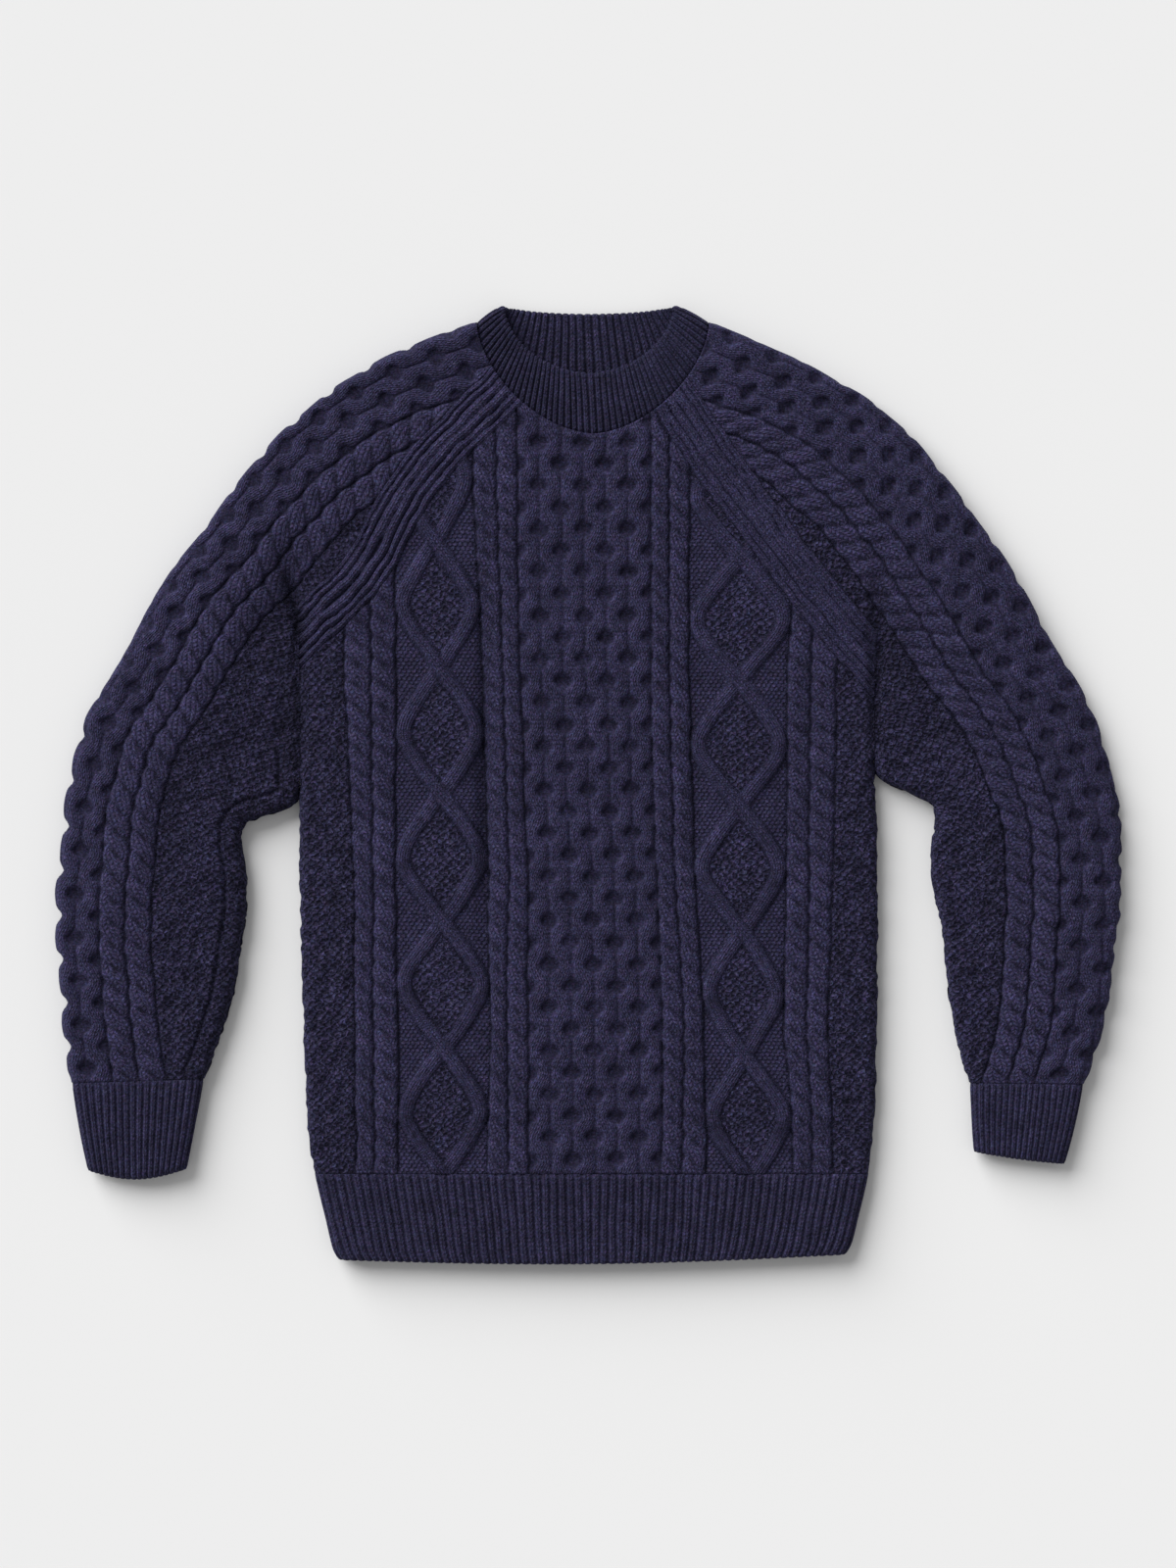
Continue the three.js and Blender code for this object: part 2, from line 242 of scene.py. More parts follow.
def sleeve_edges(rows, hand):
    """A sleeve's inner edge on each layer and its outer fold, with the neckline as row 0."""
    edges = {}
    for layer in SIDE:
        neck = rounded_arc(NECK, layer, RAGLAN_TOP[f"{layer}_{hand}"], SEAM)
        edges[layer] = np.concatenate([[neck], corners(rows, "inner")])
    raglan = edges["front"][0] - edges["front"][1]
    edges["back"][:len(BACK_RISE)] += raglan / abs(raglan) * np.array(BACK_RISE)
    top = rounded_arc(NECK, "front", SHOULDER[hand], SEAM)
    edges["outer"] = np.concatenate([[top], corners(rows, "outer")])
    return edges


EDGES = dict(right=sleeve_edges(RIGHT_SLEEVE, "right"), left=sleeve_edges(LEFT_SLEEVE, "left"))
CURVE_STEPS = 400


def edge_at(path, row):
    """An inner edge of a sleeve, with a corner where the raglan seam ends."""
    upper = smooth(path[:RAGLAN_END + 1], np.minimum(row, RAGLAN_END))
    lower = smooth(path[RAGLAN_END:], np.maximum(row - RAGLAN_END, 0))
    return np.where(row < RAGLAN_END, upper, lower)


def raglan_seam(hand, layer):
    """The raglan seam from the neckline to the armhole."""
    return edge_at(EDGES[hand][layer], np.linspace(0, RAGLAN_END, CURVE_STEPS))


# ---- knitting ----

WALE = 3.8  # width of one stitch
COURSE = 3.1  # height of one stitch
NOISE_CELLS = 64
SEEDS = dict(cells=71, moss=13, band_long=21, band_short=22, ribs=41, body=51, sleeves=61)


def noise(x, y, size, seed):
    """Smooth noise from -1 to 1."""
    cells = np.random.default_rng(seed).uniform(-1, 1, (NOISE_CELLS, NOISE_CELLS))
    column, row = np.floor(x / size), np.floor(y / size)
    u = ease(x / size - column, 0, 1)
    v = ease(y / size - row, 0, 1)

    def cell(right, up):
        return cells[(column + right).astype(int) % NOISE_CELLS,
                     (row + up).astype(int) % NOISE_CELLS]

    return mix(mix(cell(0, 0), cell(1, 0), u), mix(cell(0, 1), cell(1, 1), u), v)


def bulge(away, power=2.5):
    """A rounded top: 1 in the middle and 0 from 1 outwards."""
    return np.sqrt(np.clip(1 - np.abs(away) ** power, 0, 1))


class Knit:
    """Knitting at an array of points: its relief in millimetres, the stitch there as wales and
    courses along its own strand, how far it is purl (2 is loose purl), how strongly the stitch
    shows, and how open the place is to light, which is painted shade: the wool darkens its
    colour by it."""
    FIELDS = ("relief", "wale", "course", "purl", "show", "open")

    def __init__(self, relief, wale, course, purl=0.0, show=1.0, open=1.0):
        arrays = np.broadcast_arrays(relief, wale, course, purl, show, open)
        for field, values in zip(self.FIELDS, arrays):
            setattr(self, field, np.array(values, float))

    def lay(self, other, mask):
        """Lays other knitting over this where mask is 1."""
        for field in ("relief", "open"):
            setattr(self, field, mix(getattr(self, field), getattr(other, field), mask))
        for field in ("wale", "course", "purl", "show"):
            setattr(self, field, np.where(mask > 0.5, getattr(other, field), getattr(self, field)))

    def cross(self, strand, round_top, dark):
        """Lays a strand over this where it is higher, with painted shade in a crease where it goes
        under.
        """
        lead = strand.relief - self.relief
        crease = np.where(round_top > 0, np.exp(-(lead / CROSSING) ** 2), 0)
        self.lay(strand, ((round_top > 0) & (lead > 0)).astype(float))
        self.open = self.open * (1 - dark * crease)

    def sink(self, share, depth, dark):
        """Sinks this where share is 1, and paints shade into its colour there."""
        self.relief = self.relief - depth * share
        self.open = self.open * (1 - dark * share)

    def values(self):
        return [getattr(self, field) for field in self.FIELDS]


STRANDS = 6  # across every honeycomb
# In a honeycomb, dark is the painted shade in the pits.
HONEYCOMB = dict(strand=16.5, period=32.6, swing=3.0, peak=0.5, gap=0.5, top=1.1, crease=-0.4,
                 pit=-2.4, dark=0.22, uneven=0.3, patch=14)
# In a rope, dark is the painted shade in the crease where one strand goes under the other.
ROPE = dict(width=16, crossing=16.3, swing=3.2, bend=0.97, half_width=4.7, swell=2.2, rise=0.8,
            crown=1.25, floor=-0.9, dark=0.85)
# In diamonds, dark is the painted shade where a band goes under, and brighter lightens the painted
# shade of the moss inside them.
DIAMOND = dict(bend=0.91, half_width=5.7, crown=1.9, cross=0.9, ground=-1.3, inside=-0.3,
               ragged=0.6, brighter=1.2, dark=0.5)
# MOSS open is painted shade, a little darker, over all the moss.
MOSS = dict(wide=6.6, tall=3.2, ragged=1.1, patch=5, open=0.84)
CROSSING = 0.6  # the painted shade beside a crossing fades over this difference in height
STRAND_SHOW = 0.7  # stitches show less on the fuzzy strands than on purl ground
# dark is the painted shade in each narrow purl line between columns.
GUTTER = dict(width=0.9, depth=1.0, dark=0.65)
WARP = dict(reach=0.9, size=24)


def gutter(knit, away):
    """Sinks the narrow purl line between two columns, this far away, and paints shade into it."""
    knit.sink(np.exp(-(away / GUTTER["width"]) ** 2), GUTTER["depth"], GUTTER["dark"])


def warped(x, y, seed):
    """Coordinates shifted a little, as hand knitting is uneven."""
    shift = [WARP["reach"] * noise(x, y, WARP["size"], seed + step) for step in (0, 1)]
    return x + shift[0], y + shift[1]


def honeycomb(across, along, width):
    """Strands of this width that swing to one neighbour and then the other, round open cells."""
    across = across * HONEYCOMB["strand"] / width
    turn = np.sin(2 * np.pi * along / HONEYCOMB["period"])
    turn = turn * np.abs(turn) ** HONEYCOMB["peak"]
    strand = np.floor(across / HONEYCOMB["strand"])
    swing = HONEYCOMB["swing"] * np.where(strand % 2 == 0, turn, -turn)
    away = across - (strand + 0.5) * HONEYCOMB["strand"] - swing
    round_top = bulge(away / (HONEYCOMB["strand"] / 2 - np.abs(swing) - HONEYCOMB["gap"]))
    uneven = 1 + HONEYCOMB["uneven"] * noise(across, along, HONEYCOMB["patch"], SEEDS["cells"])
    pit = np.where(away * swing < 0, np.abs(turn) ** 1.3 * uneven, 0)
    relief = mix(mix(HONEYCOMB["crease"], HONEYCOMB["pit"], pit), HONEYCOMB["top"], round_top ** 0.8)
    # Painted shade: darker in the pits and down the strands' sides.
    light = mix(mix(0.3, HONEYCOMB["dark"], pit), 1.0, round_top ** 0.7)
    return Knit(relief, away / WALE, along / COURSE, show=STRAND_SHOW * round_top, open=light)


def rope(across, along, width):
    """Two strands twisted round each other. across is from the rope's middle."""
    place = across * ROPE["width"] / width
    # Painted shade: the ground between strands is dark, each strand darker towards its sides and a
    # little lighter on top.
    made = Knit(ROPE["floor"], place / WALE, along / COURSE, purl=1.0, show=0.3, open=0.3)
    for strand in (0, 1):
        turn = np.pi * (along / ROPE["crossing"] + strand)
        swing = ROPE["swing"] * np.arcsin(ROPE["bend"] * np.sin(turn)) / math.asin(ROPE["bend"])
        away = (place + swing) / (ROPE["half_width"] + ROPE["swell"] * np.maximum(np.cos(turn), 0))
        round_top = bulge(away)
        relief = ROPE["rise"] * (np.cos(turn) - 0.6) + ROPE["crown"] * round_top
        made.cross(Knit(relief, away, along / COURSE, show=STRAND_SHOW * round_top,
                        open=mix(0.5, 1.05, round_top ** 0.6)), round_top, ROPE["dark"])
    return made


def moss(across, along, mean=0.0, ragged=MOSS["ragged"]):
    """Staggered knobs, which the wool itself shows, on an uneven ground."""
    relief = mean + ragged * noise(across, along, MOSS["patch"], SEEDS["moss"])
    return Knit(relief, across / MOSS["wide"], along / MOSS["tall"], purl=2.0, open=MOSS["open"])


def diamonds(across, along, half_width, period):
    """Two bands that cross and part, with moss between them. along is 0 where they are widest."""
    reach = half_width - DIAMOND["half_width"]
    turn = np.pi * along / period
    bend = DIAMOND["bend"]
    offset = np.arcsin(bend * np.cos(turn)) / math.asin(bend)
    slope = -bend * np.sin(turn) / np.sqrt(1 - (bend * np.cos(turn)) ** 2) / math.asin(bend)
    lean = np.sqrt(1 + (reach * slope * np.pi / period) ** 2)
    # Painted shade: the purl ground is a little darker, and each band darker towards its sides.
    made = Knit(DIAMOND["ground"], across / WALE, along / (0.9 * COURSE), purl=1.0, show=0.8,
                open=0.9)
    beads = moss(across, along, DIAMOND["inside"], DIAMOND["ragged"])
    beads.open = beads.open * DIAMOND["brighter"]
    made.lay(beads, ease(reach * np.abs(offset) - np.abs(across), 0, 2))
    for side in (-1, 1):
        away = (across - side * reach * offset) / lean
        round_top = bulge(away / DIAMOND["half_width"])
        relief = mix(DIAMOND["ground"], DIAMOND["crown"], round_top ** 0.8)
        relief = relief + side * DIAMOND["cross"] * np.sin(turn) * round_top
        band = Knit(relief, away / WALE + 0.5, along * lean / COURSE,
                    show=STRAND_SHOW * round_top, open=mix(0.45, 1.0, round_top ** 0.6))
        made.cross(band, round_top, DIAMOND["dark"])
    return made


def ridges(away, rows, floor):
    """Long ridges side by side, as relief and roundness. Each row of the table has a ridge's
    middle, half width and top."""
    relief = np.full(away.shape, floor)
    round_top = np.zeros(away.shape)
    for middle, half_width, top in zip(rows["middle"], rows["half_width"], rows["top"]):
        this = bulge((away - middle) / half_width)
        relief = np.maximum(relief, mix(floor, top, this))
        round_top = np.maximum(round_top, this)
    return relief, round_top


RIDGES = "middle half_width top"
BODY_BAND = table(RIDGES, [(3.7, 3.5, 1.7), (10.4, 2.6, 1.6), (15.8, 2.4, 1.4)])
SLEEVE_BAND = table(RIDGES, [(3.8, 3.6, 1.7), (10.2, 2.4, 1.5), (14.9, 2.1, 1.2)])
BAND_FLOOR = -1.9
BODY_BAND_EDGE = 19.2
SLEEVE_BAND_EDGE = 17.6


def nearest_on(path, spots):
    """How far each spot is from a path, with its place along it."""
    along = lengths(path)
    best = np.full(spots.shape, np.inf)
    place = np.zeros(spots.shape)
    for point, distance in zip(path, along):
        away = np.abs(spots - point)
        closer = away < best
        best = np.where(closer, away, best)
        place = np.where(closer, distance, place)
    return best, place


def raglan_band(knit, spots, seam, rows, edge, where=1.0):
    """Lays the raglan's long ridges over the knitting beside a seam, out to their edge."""
    away, along = nearest_on(seam[::2], spots)
    for reach, size, seed in ((0.9, 20, "band_long"), (0.8, 9, "band_short")):
        away = away + reach * noise(spots.real, spots.imag, size, SEEDS[seed])
    relief, round_top = ridges(away, rows, BAND_FLOOR)
    # Painted shade: dark in the grooves between the ridges, a little lighter on their tops.
    band = Knit(relief, away / WALE, along / COURSE, show=STRAND_SHOW * round_top,
                open=mix(0.12, 1.1, round_top ** 0.8))
    knit.lay(band, where * (1 - ease(away, edge - 1.6, edge)))


# ---- layers of cloth ----

def across_layer(column, width, fold_start, fold_end, radius, clear_end=SEAM / 2):
    """How far across a layer a column is, and how far from mid height. Columns 0 to 1 turn up
    round the first fold, 1 to 2 lie flat, and 2 to 3 turn down round the second. A fold of 0
    is cut square instead. radius is that of the wall's outside or inside."""
    def turned(share, fold, clearance):
        angle = (1 - share) * np.pi / 2
        across = mix(FOLD * share, FOLD - radius * np.sin(angle), fold)
        height = mix(radius, clearance + (radius - clearance) * np.cos(angle), fold)
        return across, height

    start, start_height = turned(np.clip(column, 0, 1), fold_start, SEAM / 2)
    end, end_height = turned(np.clip(3 - column, 0, 1), fold_end, clear_end)
    flat = np.clip(column - 1, 0, 1) * (width - 2 * FOLD)
    return start + flat + FOLD - end, np.minimum(start_height, end_height)


def along_layer(column, width):
    """Distance along a layer's surface from its first edge."""
    folds = np.clip(column, 0, 1) + np.clip(column - 2, 0, 1)
    return folds * FOLD_ARC + np.clip(column - 1, 0, 1) * (width - 2 * FOLD)


def layer_columns(fold_steps, flat_steps):
    fold = np.linspace(0, 1, fold_steps + 1)
    flat = np.linspace(1, 2, flat_steps + 1)
    return np.concatenate([fold, flat[1:], 2 + fold[1:]])


def crease_lift(spots, creases):
    """How far creases move the surface at spots of the plan."""
    total = np.zeros(spots.shape)
    for x, y, turn, length, width, depth in zip(*creases.values()):
        local = (spots - (x + 1j * y)) * np.exp(-1j * math.radians(turn))
        reach = (2 * local.real / length) ** 2 + (2 * local.imag / width) ** 2
        total -= depth * np.exp(-reach)
    return total


def placed(spots, height, side):
    """Points in space from spots of the plan and heights from mid height."""
    sunk = crease_lift(spots, CREASES[side])
    if side > 0:
        sunk = sunk + crease_lift(spots, FRONT_SWELLS)
    else:
        sunk = np.minimum(sunk, 0)
    height = height + sunk * height / FOLD
    return np.stack([spots.real, spots.imag, FOLD + side * height], axis=-1)


def outward(points, ring=False):
    """Unit normals of a grid of points, facing away from mid height."""
    if ring:
        right = np.roll(points, -1, axis=1) - np.roll(points, 1, axis=1)
    else:
        right = np.gradient(points, axis=1)
    normal = np.cross(right, np.gradient(points, axis=0))
    normal = normal / np.maximum(np.linalg.norm(normal, axis=-1, keepdims=True), 1e-9)
    return normal * np.sign(np.sum(normal[..., 2] * (points[..., 2] - FOLD)))


UNDERSIDE_TOP = 2.0  # relief of the underside is measured down from its highest strands


def relieved(base, relief, ring=False):
    """The base moved by its relief along its normals. Underneath, relief only goes inwards."""
    up = ease(base[..., 2], 0, FOLD)
    relief = mix(np.minimum(relief - UNDERSIDE_TOP, 0), relief, up)
    moved = base + outward(base, ring) * relief[..., None]
    moved[..., 2] = np.maximum(moved[..., 2], 0)
    return moved


def purl_side(points):
    """Purl for the inside of a wall, painted a little darker as shade."""
    return Knit(-1.0, points[..., 0] / WALE, points[..., 1] / COURSE, purl=1.0, show=0.7, open=0.8)


# ---- meshes ----

def put(name, data):
    """Puts an object in the scene."""
    made = bpy.data.objects.new(name, data)
    bpy.context.collection.objects.link(made)
    return made


MAP_NAME = "OFBake"
MAP_ROWS = dict(outside=(0.0, 0.82), inside=(0.83, 0.95), first_rim=(0.955, 0.965),
                last_rim=(0.965, 0.975), first_cap=(0.98, 0.99), last_cap=(0.99, 1.0))
# The relief attribute also carries open, the painted shade that the wool multiplies into its colour.
ATTRIBUTES = dict(stitch=("wale", "course", "purl"), relief=("relief", "show", "open"))


class Mesh:
    """Vertices and faces gathered from grids, with a texture map that covers each face once."""

    def __init__(self):
        self.points = np.zeros((0, 3))
        self.knits = []
        self.faces = []
        self.places = []
        self.smooth = []

    def grid(self, points, knit):
        """Adds a grid's vertices and returns their numbers."""
        first = len(self.points)
        self.points = np.vstack([self.points, points.reshape(-1, 3)])
        self.knits.append(knit)
        return np.arange(first, len(self.points)).reshape(points.shape[:2])

    def quads(self, numbers, ring, band, flip=False):
        """Adds the faces of a grid of vertex numbers, mapped to a band of the texture. Where
        there is one row of faces, it is an edge, and shaded flat."""
        if ring:
            numbers = np.hstack([numbers, numbers[:, :1]])
        rows, columns = numbers.shape
        v, u = np.meshgrid(np.linspace(*MAP_ROWS[band], rows), np.linspace(0, 1, columns),
                           indexing="ij")
        place = np.stack([u, v], axis=-1)
        order = [(0, 0), (0, 1), (1, 1), (1, 0)]
        if flip:
            order.reverse()
        spans = [(slice(r, rows - 1 + r), slice(c, columns - 1 + c)) for r, c in order]
        self.faces.append(np.stack([numbers[s] for s in spans], axis=-1).reshape(-1, 4))
        self.places.append(np.stack([place[s] for s in spans], axis=-2).reshape(-1, 4, 2))
        self.smooth.append(rows > 2)

    def cap(self, outside, inside, band, flip=False):
        """Joins two edges with triangles. They share their ends, and differ in their points."""
        edges = (outside, inside)
        last = [len(edge) - 1 for edge in edges]
        at = [0, 0]
        faces, places = [], []

        def corner(which, index):
            return edges[which][index], (index / last[which], MAP_ROWS[band][which])

        steps = [(step / last[k], k) for k in (0, 1) for step in range(1, last[k] + 1)]
        for _, which in sorted(steps):
            three = [corner(0, at[0]), corner(1, at[1]), corner(which, at[which] + 1)]
            if flip:
                three.reverse()
            faces.append([number for number, place in three])
            places.append([place for number, place in three])
            at[which] += 1
        self.faces.append(np.array(faces))
        self.places.append(np.array(places))
        self.smooth.append(False)

    def build(self, name, material):
        """The finished object, in metres, with its faces turned outwards."""
        thirds = [f[:, [0, k, k + 1]] for f in self.faces for k in range(1, f.shape[1] - 1)]
        a, b, c = self.points[np.concatenate(thirds)].transpose(1, 0, 2)
        volume = np.sum(a * np.cross(b, c))
        turn = slice(None, None, -1 if volume < 0 else 1)
        faces = [face for f in self.faces for face in f[:, turn].tolist()]
        mesh = bpy.data.meshes.new(name)
        mesh.from_pydata((self.points * MM).tolist(), [], faces)
        smooth = [np.full(len(f), rounded) for f, rounded in zip(self.faces, self.smooth)]
        mesh.polygons.foreach_set("use_smooth", np.concatenate(smooth))
        uv = mesh.uv_layers.new(name=MAP_NAME)
        uv.data.foreach_set("uv", np.concatenate([p[:, turn].ravel() for p in self.places]))
        for key, fields in ATTRIBUTES.items():
            values = [np.stack([getattr(knit, field).ravel() for field in fields], axis=-1)
                      for knit in self.knits]
            attribute = mesh.attributes.new(key, "FLOAT_VECTOR", "POINT")
            attribute.data.foreach_set("vector", np.concatenate(values).ravel())
        mesh.validate()
        mesh.materials.append(material)
        return put(name, mesh)


def shell(outside, knit, inside, ring=False):
    """A closed wall between two grids that share their columns and their first and last rows."""
    mesh = Mesh()
    outer = mesh.grid(outside, knit)
    inner = mesh.grid(inside, purl_side(inside))
    mesh.quads(outer, ring, "outside")
    mesh.quads(inner, ring, "inside", flip=True)
    mesh.quads(np.stack([inner[0], outer[0]]), ring, "first_rim")
    mesh.quads(np.stack([outer[-1], inner[-1]]), ring, "last_rim")
    if not ring:
        mesh.cap(outer[:, 0], inner[:, 0], "first_cap")
        mesh.cap(outer[:, -1], inner[:, -1], "last_cap", flip=True)
    return mesh


# ---- body ----

COLUMNS = ("rope_1 rope_2 diamond_1 rope_3 rope_4 honeycomb "
           "rope_5 rope_6 diamond_2 rope_7 rope_8 moss")
# Where each column starts, up from the hem.
COLUMN_LEVELS = table("y " + COLUMNS, [
    (-265, -175, -161, -143, -76, -60, -45, 54, 70, 88, 153, 168, 183),
    (-185, -176, -162, -143, -74, -62, -46, 55, 71, 86, 146, 163, 179),
    (-60, -177, -162, -145, -76, -60, -46, 50, 64, 79, 148, 165, 183),
    (88, -184, -164, -145, -79, -64, -52, 46, 60, 75, 149, 167, 186),
    (220, -184, -165, -146, -87, -70, -54, 46, 60, 76, 156, 168, 189),
])
DIAMOND_ROWS = dict(diamond_1=(134, 95), diamond_2=(122.5, 93.5))  # where widest, and period
HOLE_Y = -38.2  # a cell in the first column of cells
# The armhole's valley: depth sinks it, and dark is painted shade in it.
ARMHOLE_DIP = dict(depth=2.4, width=5, dark=0.5)
SEAM_BLEND = 5.0  # relief is less this close to where ribs are sewn on
CREASE_SHADE = 0.13  # how much darker each millimetre of a crease is
BODY_GRID = dict(front=(9, 298, 300), back=(6, 190, 190))
INSIDE_ROWS = 8
SQUARE_CUT = dict(right=(-8, 12), left=(12, 31))  # the sides are folded below, cut square above


def body_knit(x, y):
    """The columns of patterns across the body."""
    x, y = warped(x, y, SEEDS["body"])
    names = COLUMNS.split()
    edges = [np.interp(y, COLUMN_LEVELS["y"], COLUMN_LEVELS[name]) for name in names]
    made = moss(x, y)
    for name, start, end in zip(names, edges, edges[1:]):
        width = end - start
        across = x - start
        if name.startswith("rope"):
            part = rope(across - width / 2, y, width)
        elif name.startswith("diamond"):
            widest, period = DIAMOND_ROWS[name]
            part = diamonds(across - width / 2, y - widest, width / 2, period)
        else:
            along = y - HOLE_Y + HONEYCOMB["period"] * 0.75
            part = honeycomb(across, along, width / STRANDS)
        made.lay(part, ((x >= start) & (x < end)).astype(float))
    for edge in edges:
        gutter(made, x - edge)
    return made


def top_edge(layer):
    """The upper edge of a body panel: up one raglan seam, round the neckline and down."""
    right = sideways(raglan_seam("right", layer), SEAM / 2)[::-1]
    left = sideways(raglan_seam("left", layer), -SEAM / 2)
    degrees = np.linspace(RAGLAN_TOP[f"{layer}_right"], RAGLAN_TOP[f"{layer}_left"], CURVE_STEPS)
    neck = rounded_arc(NECK, layer, degrees[1:-1], SEAM)
    return np.concatenate([right, neck, left])


def flatten_beside(knit, away):
    """Lowers the relief of knitting close to where ribs are sewn on."""
    knit.relief = knit.relief * mix(0.35, 1, ease(away, 0, SEAM_BLEND))


def from_neckline(layer, spots):
    arc = rounded_arc(NECK, layer, np.linspace(0, HALF_TURN, 120))
    return nearest_on(arc, spots)[0]


def sink_armhole(knit, spots, hand, layer):
    """The valley along the seam between the body and a sleeve, with painted shade in it."""
    seam = EDGES[hand][layer][RAGLAN_END - 1:UNDERARM_ROW]
    armhole = smooth(seam, np.linspace(0.5, len(seam) - 1, 80))
    away, _ = nearest_on(armhole, spots)
    knit.sink(np.exp(-(away / ARMHOLE_DIP["width"]) ** 2), ARMHOLE_DIP["depth"],
              ARMHOLE_DIP["dark"])


def shade_creases(knit, spots, side):
    """Creases are a little darker, as less light reaches them."""
    lift = crease_lift(spots, CREASES[side])
    # Where a crease stands up instead, the wool is painted a little lighter here.
    knit.open = knit.open * np.clip(1 + CREASE_SHADE * lift, 0.3, 1.1)


def body_panel(layer, material):
    fold_steps, flat_steps, rows = BODY_GRID[layer]
    column = layer_columns(fold_steps, flat_steps)[None, :]
    top = top_edge(layer)
    right_top, left_top = BODY_SIDES["right"][-1] + SEAM / 2, BODY_SIDES["left"][-1] - SEAM / 2
    across, _ = across_layer(column, left_top - right_top, 0, 0, FOLD)
    top_y = np.interp(right_top + across, top.real, top.imag)

    def grid(row_count, radius):
        share = np.linspace(0, 1, row_count + 1)[:, None]
        y = mix(HEM_Y, top_y, share)
        level = np.interp(y, BODY_SIDES["y"], np.arange(len(BODY_SIDES["y"])))
        right = smooth(BODY_SIDES["right"], level) + SEAM / 2
        left = smooth(BODY_SIDES["left"], level) - SEAM / 2
        folds = [1 - ease(y, *SQUARE_CUT[hand]) for hand in OUT]
        inset, height = across_layer(column, left - right, *folds, radius)
        pattern_x = right + FOLD - FOLD_ARC + along_layer(column, left - right)
        return right + inset + 1j * y, height, pattern_x + 0 * y

    spots, height, pattern_x = grid(rows, FOLD)
    knit = body_knit(pattern_x, spots.imag)
    for hand in OUT:
        seam = raglan_seam(hand, layer)
        ahead = seam[-1] - seam[-CURVE_STEPS // 3]
        run_on = seam[-1] + np.linspace(0, 40, 80)[1:] * ahead / abs(ahead)
        raglan_band(knit, spots, np.concatenate([seam, run_on]), BODY_BAND, BODY_BAND_EDGE)
    flatten_beside(knit, from_neckline(layer, spots))
    flatten_beside(knit, spots.imag - HEM_Y)
    for hand in OUT:
        sink_armhole(knit, spots, hand, layer)
    shade_creases(knit, spots, SIDE[layer])
    outside = relieved(placed(spots, height, SIDE[layer]), knit.relief)
    spots, height, _ = grid(INSIDE_ROWS, FOLD_INNER)
    inside = placed(spots, height, SIDE[layer])
    return shell(outside, knit, inside).build(f"{layer}_panel", material)


# ---- sleeves ----

SLEEVE_GRID = dict(front=(9, 100), back=(7, 55), rows=430, inside_rows=34)
SLEEVE_ROPE = 20.0
SLEEVE_CELLS = STRANDS * 17.0  # width of the honeycomb, part of it underneath
# How much of the honeycomb shows on the front at each level of a sleeve, down from the neck.
CELLS_SHOWN = table("row right left", [
    (0, 54, 58),
    (3, 48, 60),
    (6, 41, 62),
    (9, 36, 58),
    (13, 33, 50),
    (18, 32, 38),
])
ROPE_LINE = 20.0  # the ropes' length is measured this far inside the honeycomb
SCALLOP = dict(right=2.6, left=2.2)  # how far the honeycomb's cells swell the outer edge
CUFF_BLEND = 0.2  # the last part of a sleeve, in sections, where its relief dies out
# The right sleeve's underarm seam shows as a groove beside its inner edge, with a roll outside; dark
# and roll are the painted shade in the groove and on the roll.
UNDER_SEAM = dict(hand="right", inside=15.5, width=1.7, depth=2.2, dark=0.65, roll=0.25)
SLEEVE_PHASE = dict(right=5.5, left=8.0)  # shifts the honeycomb's cells along each sleeve


def sleeve_knit(hand, across, cell_run, rope_run):
    """A sleeve's patterns. across is from the honeycomb's edge on the front, out over the fold."""
    across, rope_run = warped(across, rope_run, SEEDS["sleeves"])
    made = moss(across, rope_run)
    for step, start in ((-2, 0), (-1, 0), (0, SLEEVE_CELLS), (1, SLEEVE_CELLS)):
        away = across - start - (step + 0.5) * SLEEVE_ROPE
        part = rope(OUT[hand] * away, -rope_run, SLEEVE_ROPE)
        made.lay(part, (np.abs(away) <= SLEEVE_ROPE / 2).astype(float))
    cells = honeycomb(across, cell_run, SLEEVE_CELLS / STRANDS)
    made.lay(cells, ((across >= 0) & (across < SLEEVE_CELLS)).astype(float))
    for step in (-2, -1, 0):
        gutter(made, across - step * SLEEVE_ROPE)
    return made


def sink_under_seam(knit, spots, inner_line, row):
    """The groove of the underarm seam with painted shade in it, and painted shade on the roll
    between it and the inner edge.
    """
    away, _ = nearest_on(inner_line[row > UNDERARM_ROW - 1.5][::3], spots)
    below = ease(row, UNDERARM_ROW - 2, UNDERARM_ROW - 1)[:, None]
    groove = np.exp(-((away - UNDER_SEAM["inside"]) / UNDER_SEAM["width"]) ** 2)
    knit.sink(below * groove, UNDER_SEAM["depth"], UNDER_SEAM["dark"])
    roll = ease(away, UNDER_SEAM["inside"], UNDER_SEAM["inside"] - 3)
    knit.sink(below * roll, 0, UNDER_SEAM["roll"])


